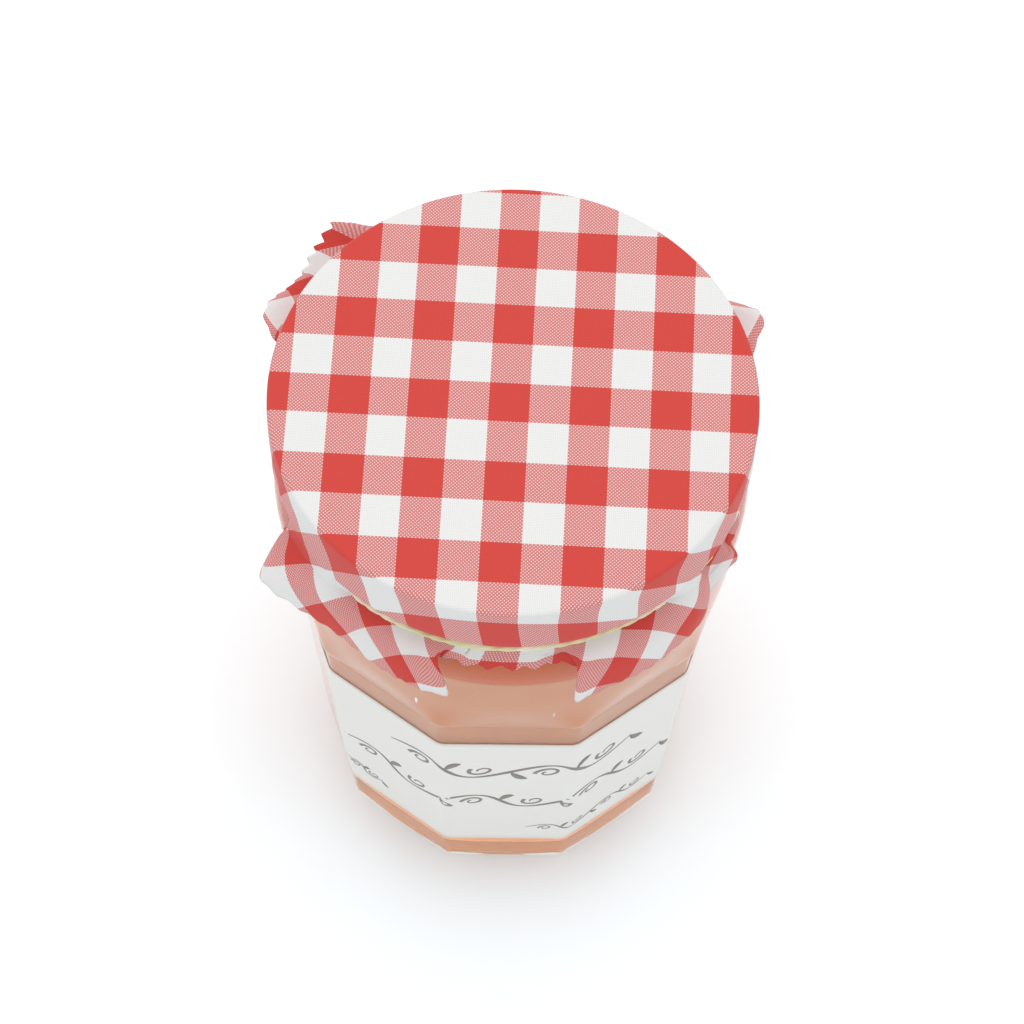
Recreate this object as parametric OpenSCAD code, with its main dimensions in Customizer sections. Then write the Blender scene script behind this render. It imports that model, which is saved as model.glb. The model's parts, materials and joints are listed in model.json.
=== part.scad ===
// A closed jar of peach jam: a ten-sided glass jar with a round shoulder, filled to the neck,
// shut by a metal twist-off lid that wears a gingham cloth cover held on by an elastic tie,
// with a paper label on the lower facets. Millimetres, +Z up, front to -Y.
// The origin is the middle of the foot, on the surface the jar stands on.

/* [Jar body] */
// Radius of the round body at the foot, before the facets are cut
foot_r = 36.1; // [30:0.1:45]
// Radius of the round body at its widest, where the shoulder begins
shoulder_r = 42.9; // [36:0.1:52]
// Height where the shoulder begins
shoulder_z = 99; // [85:0.5:130]
// Height of the shoulder, from the widest ring up to the neck
shoulder_h = 8.5; // [5:0.5:14]
// Radius of the neck
neck_r = 40; // [33:0.1:48]
// Height of the neck and the finish above the shoulder, up to the rim
neck_h = 17.3; // [14:0.1:24]
// Height of the rounded heel at the foot
heel_h = 2.6; // [1:0.1:5]
// Width of the rounded heel, seen from below
heel_w = 2.4; // [1:0.1:4]
// Width of the flat ring that the jar stands on
foot_ring_w = 3.6; // [2:0.1:5]
// Glass thickness of the walls at the middle of a facet
wall = 2.9; // [1.8:0.1:4]
// Glass thickness of the floor
floor_t = 5.5; // [3:0.1:8]
// Rise of the hollow under the floor
push_up = 1.4; // [0.5:0.1:2]

/* [Facets] */
// Number of flat facets round the body
facets = 10; // [8:1:12]
// Depth of a facet at the foot, in from the round foot
facet_foot_in = 1.6; // [1:0.1:3]
// Depth of a facet at the ledge, in from the widest ring
facet_ledge_in = 3.5; // [2.5:0.1:6]
// Height of the ledge where the facets end
ledge_z = 73.3; // [60:0.5:90]
// Width of the ledge's small step outward
ledge_step = 0.5; // [0.2:0.1:1]
// Height over which the sides above the ledge turn from flat to round
blend_h = 13; // [6:0.5:18]

/* [Jam] */
// Headspace between the jam and the rim
headspace = 12; // [4:0.5:16]
// Clearance between the jam and the glass
jam_gap = 0.1; // [0.05:0.05:0.3]

/* [Label] */
// Height of the label's lower edge
label_z = 12.6; // [8:0.1:20]
// Height of the label
label_h = 52; // [30:0.5:56]
// Reach of the label onto the facet beyond each side facet
label_tail = 7; // [1:0.5:12]
// Thickness of the label
label_t = 0.3; // [0.2:0.05:0.6]
// Clearance between the label and the glass
label_gap = 0.05; // [0.02:0.01:0.1]

/* [Lid] */
// Clearance between the lid's side and the neck
lid_clear = 1.8; // [1:0.1:3]
// Height of the lid
lid_h = 11; // [9:0.5:13]
// Thickness of the lid's sheet metal
lid_t = 0.5; // [0.3:0.05:0.8]
// Radius of the rolled bead at the lid's lower edge
bead_r = 0.8; // [0.5:0.05:0.9]

/* [Cloth cover] */
// Thickness of the cloth
cloth_t = 0.6; // [0.4:0.05:1]
// Clearance between the cloth and the lid's side
cloth_gap = 0.1; // [0.05:0.05:0.3]
// Drop of the cloth below the tie between two flaps
skirt_drop = 6; // [4:0.5:9]
// Reach of the hem between two flaps, out past the shoulder
skirt_past = 0.2; // [0.1:0.05:0.8]
// Drop of a corner flap below the tie
flap_drop = 7.5; // [5:0.5:10]
// Reach of a corner flap at the middle of its straight edge, out past the shoulder
flap_past = 4; // [2:0.1:7]
// Half of the angle that a corner flap takes
flap_half = 25; // [18:1:30]
// Turn of the cloth about the axis
cloth_turn = -2.6; // [-10:0.1:10]
// Depth of the small gathers at the hem
gather = 0.35; // [0:0.05:0.5]

/* [Tie] */
// Drop of the tie below the lid's lower edge
tie_drop = 4; // [3:0.1:5]
// Radius of the elastic cord
tie_cord_r = 0.65; // [0.5:0.05:1.1]
// Clearance between the tie and the cloth
tie_gap = 0.1; // [0.05:0.05:0.2]

/* [Hidden] */
$fn = 96;

facet_foot_r = foot_r - facet_foot_in;
facet_ledge_r = shoulder_r - facet_ledge_in;
neck_z = shoulder_z + shoulder_h;
rim_z = neck_z + neck_h;
lid_r = neck_r + lid_clear + lid_t;
lid_top_z = rim_z + lid_t;
lid_foot_z = lid_top_z - lid_h;
tie_z = lid_foot_z - tie_drop;
jam_z = rim_z - headspace;
facet_step = 360 / facets;
facet_slope = (facet_ledge_r - facet_foot_r) / ledge_z;
far = 3 * shoulder_r;

push_up_run = 3;
lip_r = 0.9;
floor_round = 5;
lid_crown = 1.5;
arc_steps = 10;
gathers = 24;
hang = 1.8;
hang_steps = 4;

// Radius of the round body at height z, between the foot and the shoulder.
function body_r(z) = foot_r + (shoulder_r - foot_r) * z / shoulder_z;

// Distance from the axis to a facet at height z.
function facet_r(z) = facet_foot_r + facet_slope * z;

// Points of a quarter of an ellipse about a centre, from one angle to another.
function quarter(middle, rx, ry, from, to) = [
    for (i = [0 : arc_steps])
        let (a = from + (to - from) * i / arc_steps)
            middle + [rx * cos(a), ry * sin(a)]
];

// ---- Glass jar ----

// The shoulder's half outline: it leaves the wall upright and curls in to the neck.
function shoulder_arc(out_r, in_r, low_z, high_z) =
    quarter([in_r, low_z], out_r - in_r, high_z - low_z, 0, 90);

module jar_outline() {
    ring_out_r = foot_r - heel_w;
    ring_in_r = ring_out_r - foot_ring_w;
    polygon(concat(
        [[0, push_up], [ring_in_r - push_up_run, push_up], [ring_in_r, 0]],
        quarter([ring_out_r, heel_h], body_r(heel_h) - ring_out_r, heel_h, -90, 0),
        shoulder_arc(shoulder_r, neck_r, shoulder_z, neck_z),
        quarter([neck_r - lip_r, rim_z - lip_r], lip_r, lip_r, 0, 90),
        [[0, rim_z]]
    ));
}

// The space inside the glass, drawn back by gap on every side for what fills it.
module hollow_outline(gap, top_z) {
    low_r = facet_r(floor_t) - wall - gap;
    high_r = shoulder_r - wall - gap;
    mouth_r = neck_r - wall - gap;
    low_z = floor_t + gap;
    polygon(concat(
        [[0, low_z]],
        quarter([low_r - floor_round, low_z + floor_round], floor_round, floor_round, -90, 0),
        [[facet_r(ledge_z) - wall - gap, ledge_z]],
        shoulder_arc(high_r, mouth_r, shoulder_z - wall / 2, neck_z - wall / 2),
        [[mouth_r, top_z], [0, top_z]]
    ));
}

// What is taken off a round body to leave one flat facet with its ledge, and the leaning
// flat above it that runs out into the round. It stands off by proud.
module facet_cutter(proud) {
    top_r = facet_r(ledge_z) + proud;
    blend_z = ledge_z + blend_h;
    rotate([90, 0, 90])
        linear_extrude(far, center = true)
            polygon([
                [facet_r(-1) + proud, -1],
                [top_r, ledge_z],
                [top_r + ledge_step, ledge_z + ledge_step],
                [body_r(blend_z) + proud, blend_z],
                [far, blend_z],
                [far, -1]
            ]);
}

// All the facets' cutters. One facet faces the front.
module facet_cutters(proud) {
    for (i = [0 : facets - 1])
        rotate([0, 0, i * facet_step + 180])
            facet_cutter(proud);
}

module jar() {
    color("#efe9dd", 0.4)
        difference() {
            rotate_extrude() jar_outline();
            rotate_extrude() hollow_outline(0, rim_z + 1);
            facet_cutters(0);
        }
}

// ---- Jam ----

module jam() {
    color("#c85a10")
        rotate_extrude() hollow_outline(jam_gap, jam_z);
}

// ---- Label ----

// A block over the label's height, longer by extra at both ends, whose facets stand off
// the glass by proud.
module faceted_block(proud, extra) {
    difference() {
        translate([0, 0, label_z - extra])
            cylinder(r = shoulder_r + proud, h = label_h + 2 * extra);
        facet_cutters(proud);
    }
}

module label() {
    edge_angle = 1.5 * facet_step;
    edge_r = facet_r(label_z) / cos(facet_step / 2);
    reach_y = edge_r * cos(edge_angle) - label_tail * sin(2 * facet_step);
    color("#e8e7e3")
        intersection() {
            difference() {
                faceted_block(label_gap + label_t, 0);
                faceted_block(label_gap, 1);
            }
            translate([-far, -far - reach_y, 0]) cube([2 * far, far, ledge_z]);
        }
}

// ---- Lid ----

module lid() {
    color("#c9c4b4")
        rotate_extrude()
            union() {
                difference() {
                    polygon(concat(
                        [[0, lid_foot_z + bead_r], [lid_r, lid_foot_z + bead_r]],
                        quarter([lid_r - lid_crown, lid_top_z - lid_crown], lid_crown, lid_crown, 0, 90),
                        [[0, lid_top_z]]
                    ));
                    translate([0, lid_foot_z - 1])
                        square([lid_r - lid_t, lid_h + 1 - lid_t]);
                }
                translate([lid_r - bead_r, lid_foot_z + bead_r]) circle(r = bead_r, $fn = 32);
            }
}

// ---- Cloth cover ----

// How far an angle is inside a corner flap: 1 on the flap, 0 between two flaps.
function flap_share(a) =
    let (
        off = abs(((a % 90) + 90) % 90 - 45),
        edge = 4,
        x = min(1, max(0, (flap_half + edge - off) / (2 * edge)))
    )
    x * x * (3 - 2 * x);

// How much further out the straight edge of a flap is at this angle than at its middle.
function flap_stretch(a) =
    let (off = abs(((a % 90) + 90) % 90 - 45))
    1 / cos(min(off, flap_half));

// The cloth's half outline at one angle, from near the axis to the hem, as [radius, height].
function cloth_path(a) =
    let (
        top_z = lid_top_z + cloth_t,
        spread = cloth_gap + cloth_t,
        crown = 0.8 * lid_crown,
        tie_r = neck_r + spread,
        groove = tie_cord_r + tie_gap,
        share = flap_share(a),
        ripple = gather * (1 + sin(a * gathers)) * (1 - share),
        hem = shoulder_r + skirt_past - tie_r,
        straight = (shoulder_r + flap_past) * flap_stretch(a) - tie_r,
        reach = hem + (straight - hem) * share + ripple,
        drop = skirt_drop + (flap_drop - skirt_drop) * share
    )
    concat(
        [[lid_r / 2, top_z]],
        [for (b = [90, 60, 30, 0])
            [lid_r - crown, lid_top_z - crown]
                + [(crown + spread) * cos(b), (crown + cloth_t) * sin(b)]],
        [for (b = [0, -50])
            [lid_r - bead_r, lid_foot_z + bead_r] + (bead_r + spread) * [cos(b), sin(b)]],
        [[tie_r, tie_z + groove], [tie_r, tie_z - groove]],
        [for (i = [1 : hang_steps]) let (s = i / hang_steps)
            [tie_r, tie_z - groove] + [reach * s, -(drop - groove) * (s + hang * s * s) / (1 + hang)]]
    );

// Steps from one point to another in a half outline, turned a quarter to point outward.
function outward(path, i) =
    let (
        before = path[max(0, i - 1)],
        after = path[min(len(path) - 1, i + 1)],
        along = after - before
    )
    [-along[1], along[0]] / norm(along);

// The inner side of the cloth at one angle.
function lining_path(path) = [
    for (i = [0 : len(path) - 1])
        path[i] - cloth_t * outward(path, i)
];

// A half outline turned to its angle, as points in space.
function turned(path, a) = [for (p = path) [p[0] * cos(a), p[0] * sin(a), p[1]]];

module cloth() {
    steps = 96;
    paths = [for (i = [0 : steps - 1]) cloth_path(i * 360 / steps)];
    rings = len(paths[0]);
    outer = [for (i = [0 : steps - 1]) turned(paths[i], i * 360 / steps)];
    inner = [for (i = [0 : steps - 1]) turned(lining_path(paths[i]), i * 360 / steps)];
    points = concat(
        [for (column = outer) each column],
        [for (column = inner) each column],
        [[0, 0, lid_top_z + cloth_t], [0, 0, lid_top_z]]
    );
    lining = steps * rings;
    outer_middle = 2 * steps * rings;
    inner_middle = outer_middle + 1;
    faces = [
        for (i = [0 : steps - 1])
            let (a = i * rings, b = ((i + 1) % steps) * rings)
                each concat(
                    [for (j = [0 : rings - 2])
                        each [[a + j, a + j + 1, b + j], [b + j, a + j + 1, b + j + 1]]],
                    [for (j = [0 : rings - 2])
                        each [
                            [lining + b + j, lining + a + j + 1, lining + a + j],
                            [lining + b + j + 1, lining + a + j + 1, lining + b + j]
                        ]],
                    [
                        [a + rings - 1, lining + a + rings - 1, b + rings - 1],
                        [b + rings - 1, lining + a + rings - 1, lining + b + rings - 1],
                        [outer_middle, a, b],
                        [inner_middle, lining + b, lining + a]
                    ]
                )
    ];
    color("#d94f48")
        rotate([0, 0, cloth_turn])
            polyhedron(points, faces, convexity = 6);
}

// ---- Tie ----

module tie() {
    ring_r = neck_r + cloth_gap + cloth_t + tie_gap + tie_cord_r;
    color("#e1dcaa")
        rotate_extrude()
            translate([ring_r, tie_z]) circle(r = tie_cord_r, $fn = 32);
}

jar();
jam();
label();
lid();
cloth();
tie();
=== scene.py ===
"""A closed jar of peach jam under a gingham cloth cover, dressed around its construction frame.

Everything is in metres in the frame's own axes: +Z up, the front facet towards -Y. Sizes that a
maker would give in millimetres are written as such and turned to metres by MM.
"""

from __future__ import annotations

import json
import logging
import math
from dataclasses import dataclass
from enum import Enum
from typing import Any, Sequence

import bpy
import numpy as np
from mathutils import Matrix, Vector

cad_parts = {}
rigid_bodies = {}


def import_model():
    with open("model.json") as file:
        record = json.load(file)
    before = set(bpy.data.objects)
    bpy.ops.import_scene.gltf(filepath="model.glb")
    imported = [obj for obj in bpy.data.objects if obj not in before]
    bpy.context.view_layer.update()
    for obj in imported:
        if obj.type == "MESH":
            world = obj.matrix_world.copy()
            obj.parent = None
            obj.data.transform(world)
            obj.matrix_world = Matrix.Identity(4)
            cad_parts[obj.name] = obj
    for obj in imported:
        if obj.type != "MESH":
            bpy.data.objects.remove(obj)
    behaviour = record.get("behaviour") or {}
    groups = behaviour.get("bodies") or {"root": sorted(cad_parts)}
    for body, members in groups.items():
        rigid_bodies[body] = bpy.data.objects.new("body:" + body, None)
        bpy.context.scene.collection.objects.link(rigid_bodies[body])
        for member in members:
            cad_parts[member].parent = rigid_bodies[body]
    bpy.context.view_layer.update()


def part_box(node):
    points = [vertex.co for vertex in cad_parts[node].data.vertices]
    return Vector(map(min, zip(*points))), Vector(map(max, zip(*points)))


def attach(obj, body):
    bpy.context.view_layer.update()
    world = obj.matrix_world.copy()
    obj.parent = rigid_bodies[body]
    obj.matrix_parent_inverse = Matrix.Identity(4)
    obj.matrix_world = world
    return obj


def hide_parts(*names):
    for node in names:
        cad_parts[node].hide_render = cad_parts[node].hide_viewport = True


MM = 0.001
BODY = "root"
LOG = logging.getLogger("jam_jar")

Link = tuple[Any, str]
Faces = list[tuple[int, ...]]


# ---------------------------------------------------------------- colours and shader nodes


def linear(hex_colour: str) -> tuple[float, float, float, float]:
    """Turn an sRGB hex colour into the linear colour that a shader takes.

    Args:
        hex_colour: Six hexadecimal digits with a leading hash.

    Returns:
        Linear red, green, blue and an alpha of one.
    """
    levels = [int(hex_colour[i : i + 2], 16) / 255 for i in (1, 3, 5)]
    curve = [c / 12.92 if c <= 0.04045 else ((c + 0.055) / 1.055) ** 2.4 for c in levels]
    return (curve[0], curve[1], curve[2], 1.0)


def add_node(
    tree: bpy.types.NodeTree,
    kind: str,
    settings: dict[str, Any] | None = None,
    **inputs: Any,
) -> bpy.types.Node:
    """Add one shader node with its settings, socket values and links.

    Args:
        tree: The node tree to add to.
        kind: Blender's name for the kind of node, such as ShaderNodeMath.
        settings: Properties of the node itself, such as its operation.
        **inputs: Socket values by name, with spaces as underscores and a plain number as _0,
            _1 and so on. A value that is a (node, output) pair is linked.

    Returns:
        The new node.
    """
    made = tree.nodes.new(kind)
    for key, value in (settings or {}).items():
        setattr(made, key, value)
    for key, value in inputs.items():
        socket = made.inputs[int(key[1:])] if key[1:].isdigit() else made.inputs[key.replace("_", " ")]
        if isinstance(value, tuple) and len(value) == 2 and isinstance(value[0], bpy.types.Node):
            tree.links.new(value[0].outputs[value[1]], socket)
        else:
            socket.default_value = value
    return made


def new_material(name: str) -> tuple[bpy.types.Material, bpy.types.NodeTree]:
    """Make an empty node material.

    Args:
        name: The material's name.

    Returns:
        The material and its node tree, which has no nodes yet.
    """
    made = bpy.data.materials.new(name)
    made.use_nodes = True
    made.node_tree.nodes.clear()
    return made, made.node_tree


def close_material(tree: bpy.types.NodeTree, shader: Link) -> None:
    """Link a shader to a new material output.

    Args:
        tree: The material's node tree.
        shader: The (node, output) pair of the finished shader.
    """
    add_node(tree, "ShaderNodeOutputMaterial", Surface=shader)


def calculated(tree: bpy.types.NodeTree, operation: str, *terms: Any) -> Link:
    """Work out a number from others.

    Args:
        tree: The node tree to add to.
        operation: Blender's name for the operation, such as MULTIPLY.
        *terms: The numbers or links that go in, one to three of them.

    Returns:
        A link to the answer.
    """
    numbered = {f"_{i}": term for i, term in enumerate(terms)}
    made = add_node(tree, "ShaderNodeMath", {"operation": operation}, **numbered)
    return (made, "Value")


class Climb(Enum):
    """How a ramp gets from its first value to its last."""

    STRAIGHT = "LINEAR"
    SMOOTH = "SMOOTHSTEP"


def ramp(
    tree: bpy.types.NodeTree,
    value: Link,
    span: tuple[float, float] = (0.0, 1.0),
    result: tuple[float, float] = (0.0, 1.0),
    climb: Climb = Climb.STRAIGHT,
) -> Link:
    """Turn a span of one value into a span of another, and hold it flat beyond the ends.

    Args:
        tree: The node tree to add to.
        value: The value to read.
        span: Where the ramp begins and ends.
        result: What it gives at its beginning and its end.
        climb: How it gets from one to the other.

    Returns:
        A link to the result.
    """
    made = add_node(
        tree,
        "ShaderNodeMapRange",
        {"interpolation_type": climb.value},
        Value=value,
        From_Min=span[0],
        From_Max=span[1],
        To_Min=result[0],
        To_Max=result[1],
    )
    return (made, "Result")


def noise(tree: bpy.types.NodeTree, size_mm: float, **inputs: Any) -> Link:
    """Add soft noise that stays with the piece.

    Args:
        tree: The node tree to add to.
        size_mm: Size of its largest patches in millimetres.
        **inputs: Further socket values of the noise, such as its detail.

    Returns:
        A link to the noise, from nothing to one.
    """
    place = add_node(tree, "ShaderNodeTexCoord")
    scale = 1.0 / (size_mm * MM)
    made = add_node(tree, "ShaderNodeTexNoise", Vector=(place, "Object"), Scale=scale, **inputs)
    return (made, made.outputs[0].name)


def bump(tree: bpy.types.NodeTree, height: Link, depth_mm: float, strength: float, **inputs: Any) -> Link:
    """Raise a surface by a height map.

    Args:
        tree: The node tree to add to.
        height: The height, from nothing to one.
        depth_mm: What one is in millimetres.
        strength: How much of it the light sees.
        **inputs: Further socket values, such as the normal of an earlier bump.

    Returns:
        A link to the new normal.
    """
    depth = depth_mm * MM
    made = add_node(tree, "ShaderNodeBump", Height=height, Distance=depth, Strength=strength, **inputs)
    return (made, "Normal")


def blended(tree: bpy.types.NodeTree, share: Any, first: str, second: str) -> Link:
    """Mix two hex colours.

    Args:
        tree: The node tree to add to.
        share: How much of the second, from nothing to one.
        first: The colour where the share is nothing.
        second: The colour where the share is one.

    Returns:
        A link to the mixed colour.
    """
    kind = {"data_type": "RGBA"}
    made = add_node(tree, "ShaderNodeMix", kind, _0=share, _6=linear(first), _7=linear(second))
    return (made, "Result")


def shaded(tree: bpy.types.NodeTree, colour: Any, level: Link) -> Link:
    """Make a colour lighter or darker.

    Args:
        tree: The node tree to add to.
        colour: A link to a colour, or its three linear parts.
        level: What to multiply it by.

    Returns:
        A link to the new colour.
    """
    made = add_node(tree, "ShaderNodeVectorMath", {"operation": "SCALE"}, _0=colour, Scale=level)
    return (made, "Vector")


def principled(tree: bpy.types.NodeTree, **inputs: Any) -> Link:
    """Add a principled surface with some of its inputs set, and link to it."""
    return (add_node(tree, "ShaderNodeBsdfPrincipled", **inputs), "BSDF")


def mixed_shader(tree: bpy.types.NodeTree, share: Any, first: Link, second: Link) -> Link:
    """Mix two shaders by a share of the second, and link to the mix."""
    return (add_node(tree, "ShaderNodeMixShader", _0=share, _1=first, _2=second), "Shader")


# ---------------------------------------------------------------- finishes


@dataclass(frozen=True)
class MouldedGlass:
    """Clear soda-lime glass, blown in a mould: smooth, bright highlights, a slight waviness."""

    tint: str = "#f7faf7"
    ior: float = 1.52
    roughness: float = 0.03
    wave_mm: float = 14.0
    wave_depth_mm: float = 0.05
    wave_strength: float = 0.6

    def make(self) -> bpy.types.Material:
        """Build the material. Light for what is inside passes straight through it.

        Returns:
            The finished material.
        """
        material, tree = new_material("moulded_soda_glass")
        wave = noise(tree, self.wave_mm, Detail=1.0)
        glass = principled(
            tree,
            Base_Color=linear(self.tint),
            Roughness=self.roughness,
            IOR=self.ior,
            Transmission_Weight=1.0,
            Normal=bump(tree, wave, self.wave_depth_mm, self.wave_strength),
        )
        clear = add_node(tree, "ShaderNodeBsdfTransparent", Color=linear(self.tint))
        path = add_node(tree, "ShaderNodeLightPath")
        inward = calculated(tree, "MAXIMUM", (path, "Is Shadow Ray"), (path, "Is Diffuse Ray"))
        close_material(tree, mixed_shader(tree, inward, glass, (clear, "BSDF")))
        return material


@dataclass(frozen=True)
class PeachJam:
    """Boiled peach jam: a soft amber gel, paler and milky where fruit pulp hangs in it.

    Places are in millimetres, as heights or, for the front and the side, along Y.
    """

    pulp: str = "#d08a5c"
    # The gel colour shows in random clear spots among the pulp and, with the deep colour, in the painted
    # shade where the lid and the cloth shade the jam.
    gel: str = "#cf5a0a"
    shade_band_tone: str = "#ca5600"
    roughness: float = 0.28
    specular: float = 0.15
    ior: float = 1.4
    scatter_mm: tuple[float, float, float] = (6.0, 2.5, 0.8)
    pulp_mm: float = 9.0
    clear_from: float = 0.35
    clear_to: float = 0.75
    clear_share: float = 0.22
    # Painted shade: a deeper orange where the lid and the cloth shade the jam. It ends sharply below the
    # shoulder at the front, and fades down the sides.
    shade_band_from: float = 95.4
    shade_band_to: float = 96.6
    side_shade_from: float = 45.0
    side_shade_y_from: float = -28.0
    side_shade_y_to: float = -12.0
    side_shade_share: float = 0.8
    # The label's paper and the thick foot pipe light into the jam behind them.
    piped_tone: str = "#d99668"
    piped_full: float = 62.0
    piped_end: float = 70.0
    piped_light: float = 0.25
    foot_full: float = 13.0
    foot_end: float = 16.0
    foot_light: float = 0.28
    front_full: float = -16.0
    front_end: float = 2.0

    def step(self, tree: bpy.types.NodeTree, value: Link, start: float, end: float, top: float = 1.0) -> Link:
        """A smooth step from nothing to a top value between two places.

        Args:
            tree: The material's nodes.
            value: The coordinate to read.
            start: Where it leaves nothing, in millimetres.
            end: Where it reaches the top value.
            top: The top value.

        Returns:
            A link to the step.
        """
        return ramp(tree, value, (start * MM, end * MM), (0.0, top), Climb.SMOOTH)

    def make(self) -> bpy.types.Material:
        """Build the material. The jam is clearest and deepest in colour under the shoulder and down the
        sides, as painted shade where the lid and the cloth shade it.

        Returns:
            The finished material.
        """
        material, tree = new_material("peach_jam_gel")
        place = add_node(tree, "ShaderNodeTexCoord")
        split = add_node(tree, "ShaderNodeSeparateXYZ", Vector=(place, "Object"))
        height, depth = (split, "Z"), (split, "Y")

        # Painted shade: these masks give the jam its deeper colour in the band under the shoulder and down
        # the sides, where the lid and the cloth shade it.
        under = self.step(tree, height, self.shade_band_from, self.shade_band_to)
        side = self.step(tree, depth, self.side_shade_y_from, self.side_shade_y_to)
        side_shade = self.step(tree, height, self.side_shade_from, self.shade_band_to)
        side_shade = calculated(tree, "MULTIPLY", calculated(tree, "MULTIPLY", side_shade, side), self.side_shade_share)
        clear = calculated(tree, "MAXIMUM", under, side_shade)

        clouds = noise(tree, self.pulp_mm, Detail=3.0, Roughness=0.55)
        spots = ramp(tree, clouds, (self.clear_from, self.clear_to), (0.0, self.clear_share))
        colour = blended(tree, calculated(tree, "MAXIMUM", clear, spots), self.pulp, self.gel)

        # A ray straight through the glass misses the piped light, so it is made here. It is for
        # the eye, and lights nothing else.
        label = self.step(tree, height, self.piped_end, self.piped_full, self.piped_light)
        foot = self.step(tree, height, self.foot_end, self.foot_full, self.foot_light)
        front = self.step(tree, depth, self.front_end, self.front_full)
        path = add_node(tree, "ShaderNodeLightPath")
        seen = calculated(tree, "SUBTRACT", 1.0, (path, "Is Diffuse Ray"))
        piped = calculated(tree, "MULTIPLY", calculated(tree, "ADD", label, foot), front)
        jam = principled(
            tree,
            Emission_Color=linear(self.piped_tone),
            Emission_Strength=calculated(tree, "MULTIPLY", piped, seen),
            Base_Color=colour,
            Roughness=self.roughness,
            IOR=self.ior,
            Specular_IOR_Level=self.specular,
            Subsurface_Weight=1.0,
            Subsurface_Radius=[r * MM for r in self.scatter_mm],
            Subsurface_Scale=1.0,
        )
        # Painted shade: the deeper orange surface that the masks mix in where the lid and the cloth shade the
        # jam.
        gel = principled(
            tree, Base_Color=linear(self.shade_band_tone), Roughness=self.roughness, Specular_IOR_Level=self.specular
        )
        close_material(tree, mixed_shader(tree, clear, jam, gel))
        return material


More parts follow.
